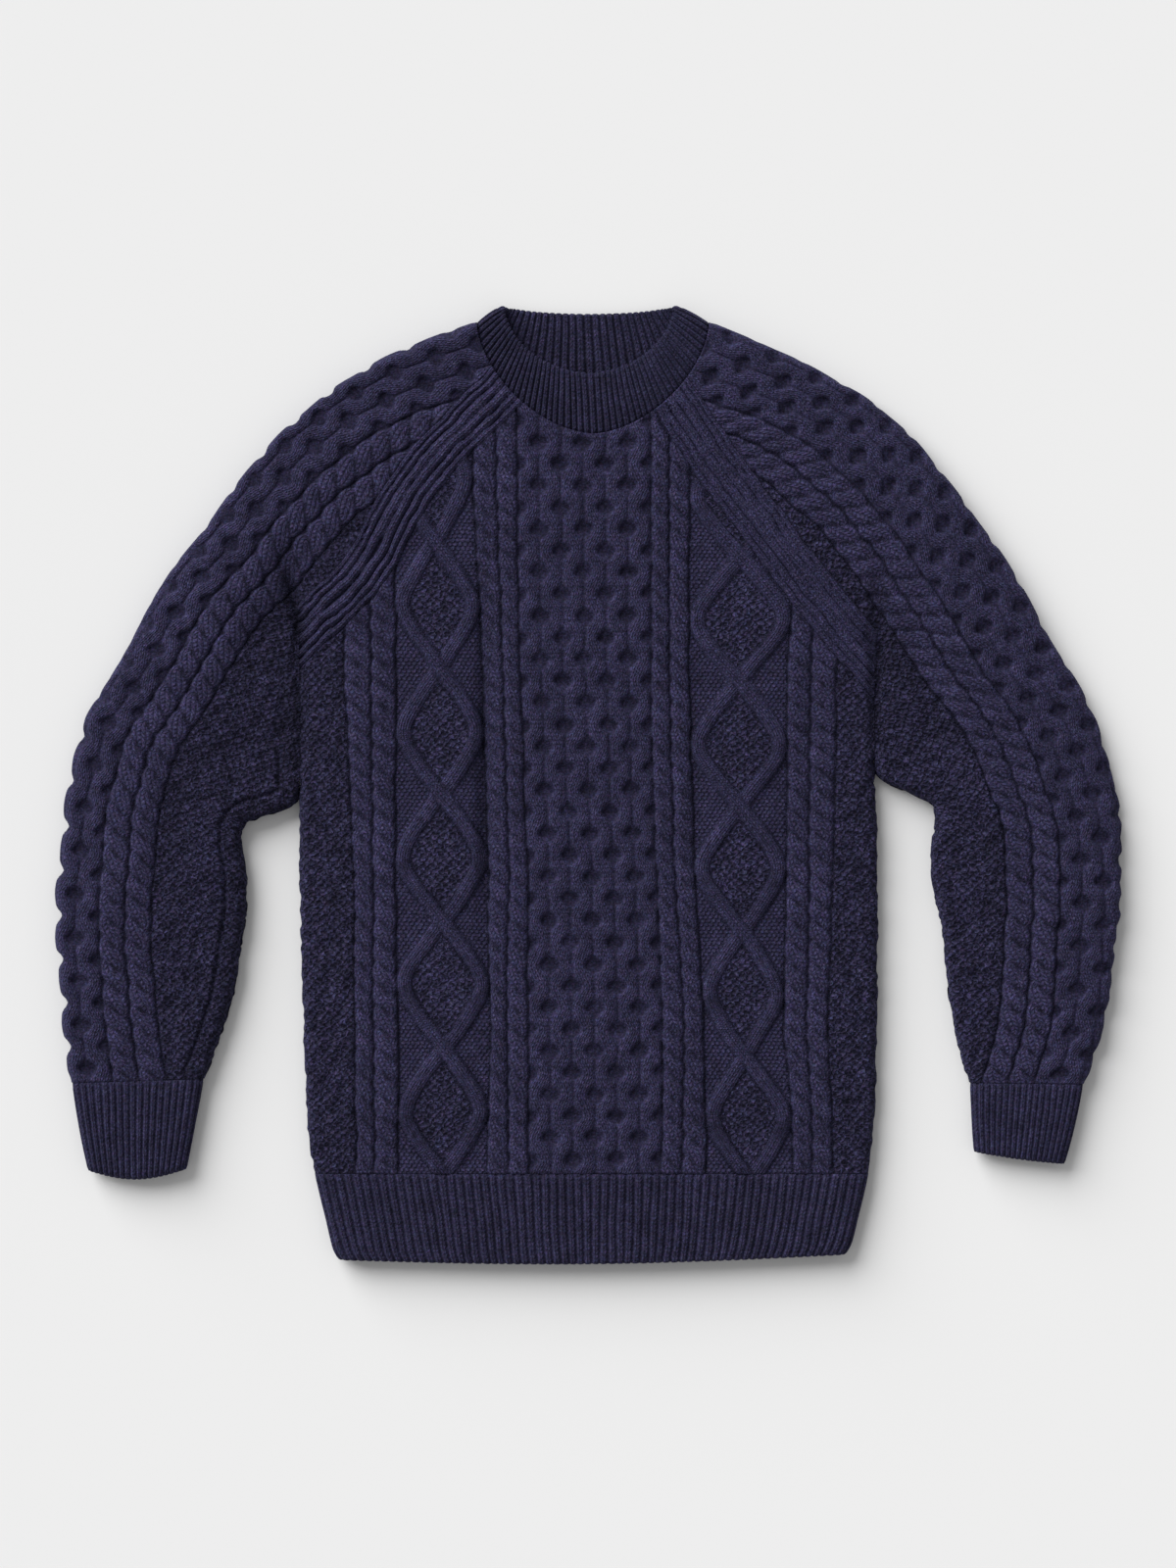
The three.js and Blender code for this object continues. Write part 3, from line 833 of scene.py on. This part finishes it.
def sleeve(hand, material):
    edges = EDGES[hand]
    last = len(edges["outer"]) - 1
    armhole_x = abs(BODY_SIDES[hand][-1])

    def rows_down(count):
        """Rows evenly spaced down the sleeve."""
        dense = np.linspace(0, last, 2000)
        run = lengths(mix(edge_at(edges["front"], dense), smooth(edges["outer"], dense), 0.6))
        return np.interp(np.linspace(0, run[-1], count + 1), run, dense)

    def grid(layer, row, radius):
        """Spots, heights and distance from the outer fold for one layer of the tube."""
        column = layer_columns(*SLEEVE_GRID[layer])[None, :]
        edge = sideways(edge_at(edges[layer], row), OUT[hand] * SEAM / 2)[:, None]
        outer = smooth(edges["outer"], row)[:, None]
        width = np.abs(outer - edge)
        fold = ease(row, UNDERARM_ROW - 1, UNDERARM_ROW)[:, None]
        across, height = across_layer(column, width, fold, 1, radius, clear_end=0)
        share = across / width
        arc_ends = np.array([RAGLAN_TOP[f"{layer}_{hand}"], SHOULDER[hand]])
        bend = rounded_arc(NECK, layer, mix(*arc_ends, share), SEAM)
        bend = bend - mix(*rounded_arc(NECK, layer, arc_ends, SEAM), share)
        spots = mix(edge, outer, share) + bend * (1 - row[:, None] / last)
        return spots, height, along_layer(3, width) - along_layer(column, width)

    row = rows_down(SLEEVE_GRID["rows"])
    inner_row = rows_down(SLEEVE_GRID["inside_rows"])
    shown = np.interp(row, CELLS_SHOWN["row"], CELLS_SHOWN[hand])[:, None] + FOLD_ARC - FOLD
    outer_line = smooth(edges["outer"], row)
    inner_line = edge_at(edges["front"], row)
    inward = (inner_line - outer_line) / np.abs(inner_line - outer_line)
    cell_run = lengths(outer_line + inward * shown[:, 0] / 2)[:, None] + SLEEVE_PHASE[hand]
    rope_run = lengths(outer_line + inward * (shown[:, 0] + ROPE_LINE))[:, None]
    lower = ease(row, UNDERARM_ROW - 2, UNDERARM_ROW + 1)[:, None]
    cells = np.sin(2 * np.pi * cell_run / HONEYCOMB["period"])
    swell = SCALLOP[hand] * lower * (((1 - cells) / 2) ** 0.4 - 0.75)
    outside, inside, knits = [], [], []
    for layer, side in SIDE.items():
        spots, height, from_fold = grid(layer, row, FOLD)
        across = shown - side * from_fold
        knit = sleeve_knit(hand, across, cell_run + 0 * across, rope_run + 0 * across)
        raglan_band(knit, spots, raglan_seam(hand, layer), SLEEVE_BAND, SLEEVE_BAND_EDGE,
                    ease(np.abs(spots.real), armhole_x + 3, armhole_x))
        flatten_beside(knit, from_neckline("front", spots))
        sink_armhole(knit, spots, hand, layer)
        if side > 0 and hand == UNDER_SEAM["hand"]:
            sink_under_seam(knit, spots, inner_line, row)
        knit.relief = knit.relief + swell * np.exp(-(from_fold / (1.2 * FOLD)) ** 2)
        knit.relief = knit.relief * ease(last - row, 0, CUFF_BLEND)[:, None]
        shade_creases(knit, spots, side)
        knits.append(knit.values())
        outside.append(placed(spots, height, side))
        spots, height, _ = grid(layer, inner_row, FOLD_INNER)
        inside.append(placed(spots, height, side))

    def joined(front, back):
        return np.concatenate([front, back[:, -2::-1]], axis=1)

    knit = Knit(*(joined(*values) for values in zip(*knits)))
    mesh = shell(relieved(joined(*outside), knit.relief), knit, joined(*inside))
    return mesh.build(f"{hand}_sleeve_knit", material)


# ---- ribs ----

RIB = dict(top=0.8, floor=-0.7, half_width=0.4, uneven=0.3, drift=0.12, show=0.45)
RIB_PATCH = (2, 30.0)  # their unevenness changes over so many ribs, and this far along them
RIB_LIGHT = dict(hem=0.6, cuff=0.88, neckband=0.2)  # how open to light the ribs' grooves are
LIP = 3.2  # radius of the rolled edge at an open end
LIP_RELIEF = 0.4  # how much of the relief is left on the roll


def rib_knit(phase, run, light):
    """Upright ribs. phase counts ribs across, and run goes along them."""
    phase, run = phase + 0 * run, run + 0 * phase
    uneven = noise(phase / RIB_PATCH[0], run / RIB_PATCH[1], 1, SEEDS["ribs"])
    phase = phase + RIB["drift"] * uneven
    place = phase - np.floor(phase) - 0.5
    round_top = bulge(place / RIB["half_width"])
    relief = mix(RIB["floor"] - RIB["uneven"] * uneven, RIB["top"], round_top)
    # Painted shade: the grooves between ribs are darker by light, and unevenly so.
    return Knit(relief, place / (2 * RIB["half_width"]) + 0.5, run / COURSE,
                show=RIB["show"] * round_top,
                open=mix(light + RIB["uneven"] * uneven, 1.0, round_top))


def lip(distance):
    """How far the surface drops as it rounds over an open edge that is this far away."""
    inside = np.clip(LIP - distance, 0, LIP)
    return LIP - np.sqrt(LIP ** 2 - inside ** 2)


def rib_grid(sides, size, rows, radius, shift, clear_end=SEAM / 2):
    """A rib's spots, heights and share of its width, on rows between its two sides."""
    column = layer_columns(size["folds"], size["flat"])[None, :]
    last = len(sides[0]) - 1
    row = np.linspace(0, last, rows + 1)
    start, end = (smooth(side, row)[:, None] for side in sides)
    width = np.abs(end - start)
    across, height = across_layer(column, width, 1, 1, radius, clear_end)
    share = across / width
    bow = -1j * np.sin(np.pi * share)
    spots = mix(start, end, share) + shift(bow, (row / last)[:, None])
    return spots, height, along_layer(column, width) / along_layer(3, width)


HEM_GRID = dict(folds=12, flat=640, rows=24, inside_rows=4)
HEM_RIBS = 66


def hem(layer, material):
    sides = [corners(HEM_SIDES, hand) for hand in OUT]

    def grid(rows, radius):
        return rib_grid(sides, HEM_GRID, rows, radius,
                        lambda bow, up: bow * HEM_SAG * (1 - up) - 1j * SEAM * up)

    spots, height, share = grid(HEM_GRID["rows"], FOLD)
    run = spots.imag - spots.imag[:1]
    drop = lip(run)
    knit = rib_knit(share * HEM_RIBS, run, RIB_LIGHT["hem"])
    flatten_beside(knit, run[-1:] - run)
    base = placed(spots, height * (1 - drop / FOLD), SIDE[layer])
    outside = relieved(base, knit.relief * mix(1, LIP_RELIEF, drop / LIP))
    spots, height, _ = grid(HEM_GRID["inside_rows"], FOLD_INNER)
    inside = placed(spots, height, SIDE[layer])
    return shell(outside, knit, inside).build(f"hem_{layer}_rib", material)


CUFF_GRID = dict(folds=20, flat=130, rows=26, inside_rows=5)
CUFF_RIBS = 20  # on each layer


def cuff(hand, material):
    sides = [corners(CUFFS[hand], edge) for edge in ("inner", "outer")]
    for side in sides:
        side[0] -= 1j * SEAM

    def grid(rows, radius):
        return rib_grid(sides, CUFF_GRID, rows, radius,
                        lambda bow, down: bow * CUFF_SAG[hand] * down, clear_end=0)

    def around(front, back):
        return np.concatenate([front, back[:, -2:0:-1]], axis=1)

    def tube(spots, height):
        height[:, 0] = 0
        return around(*(placed(spots, height, side) for side in SIDE.values()))

    spots, height, share = grid(CUFF_GRID["rows"], FOLD)
    run = np.abs(spots - spots[-1:])
    drop = lip(run)
    knit = rib_knit(around(share, 2 - share) * CUFF_RIBS, around(run, run), RIB_LIGHT["cuff"])
    from_sleeve = run[:1] - run
    flatten_beside(knit, around(from_sleeve, from_sleeve))
    relief = knit.relief * mix(1, LIP_RELIEF, around(drop, drop) / LIP)
    outside = relieved(tube(spots, height * (1 - drop / FOLD)), relief, ring=True)
    spots, height, _ = grid(CUFF_GRID["inside_rows"], FOLD_INNER)
    mesh = shell(outside, knit, tube(spots, height), ring=True)
    return mesh.build(f"cuff_{hand}_rib", material)


# ---- neckband ----

BAND_STEP = dict(front=7, back=17)  # degrees between places round the neckband
BAND_START = dict(front=10, back=30)  # degrees from each shoulder to the first of them
FOLD_STEPS = 3
BAND_GRID = dict(around=1000, outside=24, top=6, inside=16)
BAND_RIBS = 84
BAND_PITCH = dict(front=4.4, back=5.6)  # the ribs stand closer together in front
SHOULDER_DROP = 1.2  # how much lower the band's edge is where it turns over the shoulders
BAND_CROWN = 0.9  # how far the band bulges in the middle of its height


def band_stations():
    """Places round the neckband: its bottom and top in space, and which way is out."""
    curves = (NECK, BAND_TOP)
    stations = []

    def station(spots, height, out):
        stations.append([(spot.real, spot.imag, height) for spot in spots] + [out])

    def sweep(layer):
        start = BAND_START[layer]
        count = round((HALF_TURN - 2 * start) / BAND_STEP[layer])
        for degrees in np.linspace(start, HALF_TURN - start, count + 1)[::SIDE[layer]]:
            spots = [rounded_arc(curve, layer, degrees) for curve in curves]
            station(spots, FOLD + SIDE[layer] * FOLD, (0, 0, SIDE[layer]))

    def turn(hand, layers):
        """From one layer to the other round a shoulder's fold, each edge in line with its layer."""
        ends = np.array([rounded_arc(curve, "front", SHOULDER[hand]) for curve in curves])
        ways = []
        for layer in layers:
            start = abs(SHOULDER[hand] - BAND_START[layer])
            steps = ends - [rounded_arc(curve, layer, start) for curve in curves]
            ways.append(steps / np.abs(steps))
        away = np.sum(ways) / abs(np.sum(ways))
        for step in range(1, 2 * FOLD_STEPS):
            angle = step / FOLD_STEPS * math.pi / 2
            spots = ends - ways[step > FOLD_STEPS] * FOLD * (1 - math.sin(angle))
            out = away * math.sin(angle)
            rise = SIDE[layers[0]] * math.cos(angle)
            station(spots, FOLD + FOLD * rise, (out.real, out.imag, rise))

    sweep("front")
    turn("left", ("front", "back"))
    sweep("back")
    turn("right", ("back", "front"))
    return np.array(stations).transpose(1, 0, 2)


def round_ring(values, at):
    """Values between stations of a ring, on a smooth closed curve."""
    count = len(values)
    first = np.floor(at).astype(int)
    t = (at - first)[:, None]
    a, b, c, d = (values[(first + step) % count] for step in (-1, 0, 1, 2))
    return b + t / 2 * (c - a + t * (2 * a - 5 * b + 4 * c - d + t * (3 * (b - c) + d - a)))


def neckband(material):
    stations = band_stations()
    steps = np.roll(stations[0], -1, axis=0) - stations[0]
    run = np.concatenate([[0], np.cumsum(np.linalg.norm(steps, axis=1))])
    at = np.interp(np.linspace(0, run[-1], BAND_GRID["around"] + 1)[:-1], run, np.arange(len(run)))
    bottom, top, out = (round_ring(values, at) for values in stations)
    out = out / np.linalg.norm(out, axis=1, keepdims=True)
    tall = np.linalg.norm(top - bottom, axis=1)
    up = (top - bottom) / tall[:, None]
    tall = tall - SHOULDER_DROP * ease(np.abs(out[:, 2]), 1, 0)
    pitch = mix(BAND_PITCH["back"], BAND_PITCH["front"], ease(out[:, 2], -0.6, 0.6))
    phase = np.cumsum(1 / pitch)
    phase = phase * BAND_RIBS / phase[-1]

    half = WALL / 2
    straight = tall - half
    rows = []  # how far up the band, how deep in its wall, and how much of the ribs shows
    for share in np.linspace(0, 1, BAND_GRID["outside"]):
        crown = BAND_CROWN * (1 - np.sin(np.pi * min(share * 1.1, 1)) ** 0.6)
        rows.append((share * straight, crown, 1 - ease(share, 0.8, 1) * 0.5))
    quarter = np.linspace(0, math.pi / 2, BAND_GRID["top"])[1:]
    for angle in [*quarter, *(math.pi - quarter[::-1])]:
        depth = half * (1 - math.cos(angle)) + BAND_CROWN * max(math.cos(angle), 0)
        rows.append((straight + half * math.sin(angle), depth, 0.5))
    for share in np.linspace(1, 0, BAND_GRID["inside"]):
        rows.append((share * straight, WALL, 0.8))
    whole = np.stack([bottom + up * reach[:, None] - out * depth for reach, depth, _ in rows])
    run = np.cumsum(np.linalg.norm(np.diff(whole, axis=0, prepend=whole[:1]), axis=-1), axis=0)
    knit = rib_knit(phase[None, :], run, RIB_LIGHT["neckband"])
    knit.relief = knit.relief * np.array([[shown] for _, _, shown in rows])
    mesh = Mesh()
    numbers = mesh.grid(relieved(whole, knit.relief, ring=True), knit)
    outside_rows = BAND_GRID["outside"] + BAND_GRID["top"] - 1
    mesh.quads(numbers[:outside_rows], True, "outside")
    mesh.quads(numbers[outside_rows - 1:], True, "inside")
    mesh.quads(np.stack([numbers[-1], numbers[0]]), True, "first_rim")
    return mesh.build("neckband_rib", material)


# ---- wool ----

class Value:
    """A number in a material's nodes, so that its sums are written as sums."""

    def __init__(self, nodes, socket):
        self.nodes = nodes
        self.socket = socket

    def math(self, operation, *others):
        return self.nodes.math(operation, self, *others)

    def __add__(self, other):
        return self.math("ADD", other)

    def __sub__(self, other):
        return self.math("SUBTRACT", other)

    def __mul__(self, other):
        return self.math("MULTIPLY", other)


class Nodes:
    """Short calls for building a matt material's nodes."""

    def __init__(self, name):
        self.material = bpy.data.materials.new(name)
        self.material.use_nodes = True
        self.tree = self.material.node_tree
        self.tree.nodes.clear()

    def add(self, kind, settings=None, **inputs):
        node = self.tree.nodes.new("ShaderNode" + kind)
        for key, value in (settings or {}).items():
            setattr(node, key, value)
        for key, value in inputs.items():
            self.plug(value, node.inputs[key.replace("_", " ")])
        return node

    def plug(self, value, socket):
        if isinstance(value, Value):
            self.tree.links.new(value.socket, socket)
        elif isinstance(value, bpy.types.NodeSocket):
            self.tree.links.new(value, socket)
        else:
            socket.default_value = value

    def math(self, operation, *values, kind="Math"):
        node = self.add(kind, dict(operation=operation))
        for value, socket in zip(values, node.inputs):
            self.plug(value, socket)
        return Value(self, node.outputs[0])

    def attribute(self, name):
        """The three numbers of a vertex attribute."""
        vector = self.add("Attribute", dict(attribute_name=name)).outputs["Vector"]
        return [Value(self, part) for part in self.add("SeparateXYZ", Vector=vector).outputs]

    def noise(self, place, size, detail):
        """Noise of this size in millimetres."""
        node = self.add("TexNoise", Vector=place, Scale=1 / (size * MM), Detail=detail)
        return Value(self, node.outputs["Fac"])

    def bump(self, height, distance, **inputs):
        node = self.add("Bump", Height=height, Strength=1.0, Distance=distance * MM, **inputs)
        return node.outputs["Normal"]

    def finish(self, **inputs):
        shader = self.add("BsdfPrincipled", Specular_IOR_Level=0.1, **inputs)
        self.add("OutputMaterial", Surface=shader.outputs[0])
        return self.material


# Uneven shades of the wool: the patches' size and detail, and how many stops they change it by.
SHADES = dict(patches=(14.0, 3.0, 1.6), yarn=(4.0, 2.0, 1.6), fuzz=(1.5, 2.0, 4.5),
              fibres=(0.5, 3.0, 2.5))
DYE_SIZE = 1.8
DYE_RANGE = (0.9, 0.7, 0.7)
DYE_LEAST = (0.55, 0.65, 0.65)
BEAD_DRIFT = 1.4  # how unevenly loose purl stitches stand
BEAD_PATCHES = (3.6, 4.6)
STITCH_BUMP = 1.6
FUZZ_BUMP = 0.8
SHEEN = dict(Sheen_Weight=0.12, Sheen_Roughness=0.4, Sheen_Tint=(0.35, 0.38, 0.8, 1))


def wool(name, colour):
    """Thick wool yarn: knit and purl stitches, plies, fuzz and uneven dye, with painted shade
    between the stitches and from the knitting's open values.
    """
    n = Nodes(name)
    wale, course, purl = n.attribute("stitch")
    _, show, light = n.attribute("relief")
    place = n.add("TexCoord").outputs["Object"]

    # a knit stitch is a V of two legs
    half = (wale.math("FRACT") - 0.5).math("ABSOLUTE")
    leg = (half * (2 * math.pi)).math("SINE").math("ABSOLUTE").math("POWER", 0.6)
    loop = ((course - half * 1.5) * math.pi).math("SINE").math("ABSOLUTE")
    knit = leg * (loop * 0.65 + 0.35)
    # a purl stitch is a staggered bead, in rows unless it is loose
    loose = (purl - 0.8).math("MAXIMUM", 0.0) * BEAD_DRIFT
    drift = [(n.noise(place, size, 1.0) - 0.5) * loose for size in BEAD_PATCHES]
    beside = ((wale + drift[0]) * (2 * math.pi)).math("COSINE")
    above = ((course + drift[1]) * math.pi).math("COSINE")
    rows = (course * (2 * math.pi)).math("COSINE") * (purl * -0.28 + 0.56)
    bead = beside * above * 0.62 + 0.55
    bead = (bead + rows).math("MAXIMUM", 0.0).math("MINIMUM", 1.0)
    pattern = (knit + (bead - knit) * purl.math("MINIMUM", 1.0)) * show

    # Painted shade: darker between the legs and beads of the stitches, more so for loose purl.
    stops = (pattern - show) * (loose * 0.48 + 1.3)
    shades = {}
    for shade, (size, detail, amount) in SHADES.items():
        shades[shade] = n.noise(place, size, detail)
        stops = stops + (shades[shade] - 0.5) * amount
    # Painted shade from the knitting's open values darkens the tone.
    tone = n.math("POWER", 2.0, stops) * (light * 0.75 + 0.25)
    dye = n.add("TexNoise", Vector=place, Scale=1 / (DYE_SIZE * MM), Detail=1.0).outputs["Color"]
    hue = n.math("MULTIPLY_ADD", dye, DYE_RANGE, DYE_LEAST, kind="VectorMath")
    tint = n.math("MULTIPLY", tone, colour, kind="VectorMath")
    tint = n.math("MULTIPLY", tint, hue, kind="VectorMath")

    stitches = n.bump(pattern, STITCH_BUMP)
    fuzz = n.bump(shades["fibres"] * 0.3 + shades["fuzz"], FUZZ_BUMP, Normal=stitches)
    return n.finish(Base_Color=tint, Roughness=shades["fuzz"] * 0.14 + 0.84, Normal=fuzz, **SHEEN)


# ---- studio ----

FRAME_TALL = 1.176  # metres that the photograph's frame spans at the cloth
CAMERA_HEIGHT = 3.0
SENSOR = 36.0
FRAME_CENTRE = (-0.0007, -0.0007)
FLOOR_SIZE = 12.0
FLOOR_GAP = 0.0004  # the floor is just under the cloth
FLOOR_ALBEDO = 0.86
SUN = dict(strength=4.1, width=52, elevation=29, azimuth=132)  # the last three in degrees
SKY = 0.36


def camera():
    data = bpy.data.cameras.new("camera")
    data.sensor_width = SENSOR
    data.lens = SENSOR * CAMERA_HEIGHT / FRAME_TALL
    data.clip_end = 30
    made = put("camera", data)
    made.location = (*FRAME_CENTRE, CAMERA_HEIGHT + LIE * MM)
    bpy.context.scene.camera = made


def studio():
    mesh = bpy.data.meshes.new("floor")
    half = FLOOR_SIZE / 2
    mesh.from_pydata([(-half, -half, 0), (half, -half, 0), (half, half, 0), (-half, half, 0)], [],
                     [(0, 1, 2, 3)])
    grey = (FLOOR_ALBEDO, FLOOR_ALBEDO, FLOOR_ALBEDO, 1)
    mesh.materials.append(Nodes("pale_floor").finish(Base_Color=grey, Roughness=0.9))
    floor = put("floor", mesh)
    floor.location.z = -FLOOR_GAP

    sun = bpy.data.lights.new("key", "SUN")
    sun.energy = SUN["strength"]
    sun.angle = math.radians(SUN["width"])
    turns = (90 - SUN["elevation"], 0, 90 + SUN["azimuth"])
    put("key", sun).rotation_euler = [math.radians(degrees) for degrees in turns]

    world = bpy.data.worlds.new("studio")
    world.use_nodes = True
    sky = world.node_tree.nodes["Background"].inputs
    sky["Color"].default_value = (1, 1, 1, 1)
    sky["Strength"].default_value = SKY
    bpy.context.scene.world = world
    bpy.context.scene.view_settings.view_transform = "Standard"


camera()
studio()
CABLE = wool("cable_wool", (0.040, 0.036, 0.085))
RIB_WOOL = wool("rib_wool", (0.0262, 0.0238, 0.0555))


def declare(piece, node):
    """The piece stands in for a CAD node: it is parented under the body, and the node is hidden."""
    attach(piece, BODY)
    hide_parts(node)


declare(body_panel("front", CABLE), "front")
declare(body_panel("back", CABLE), "back")
for hand in OUT:
    declare(sleeve(hand, CABLE), f"sleeve_{hand}")
declare(cuff("right", RIB_WOOL), "cuff_right")
declare(cuff("left", RIB_WOOL), "cuff_left")
declare(hem("front", RIB_WOOL), "hem_front")
declare(hem("back", RIB_WOOL), "hem_back")
declare(neckband(RIB_WOOL), "neckband")
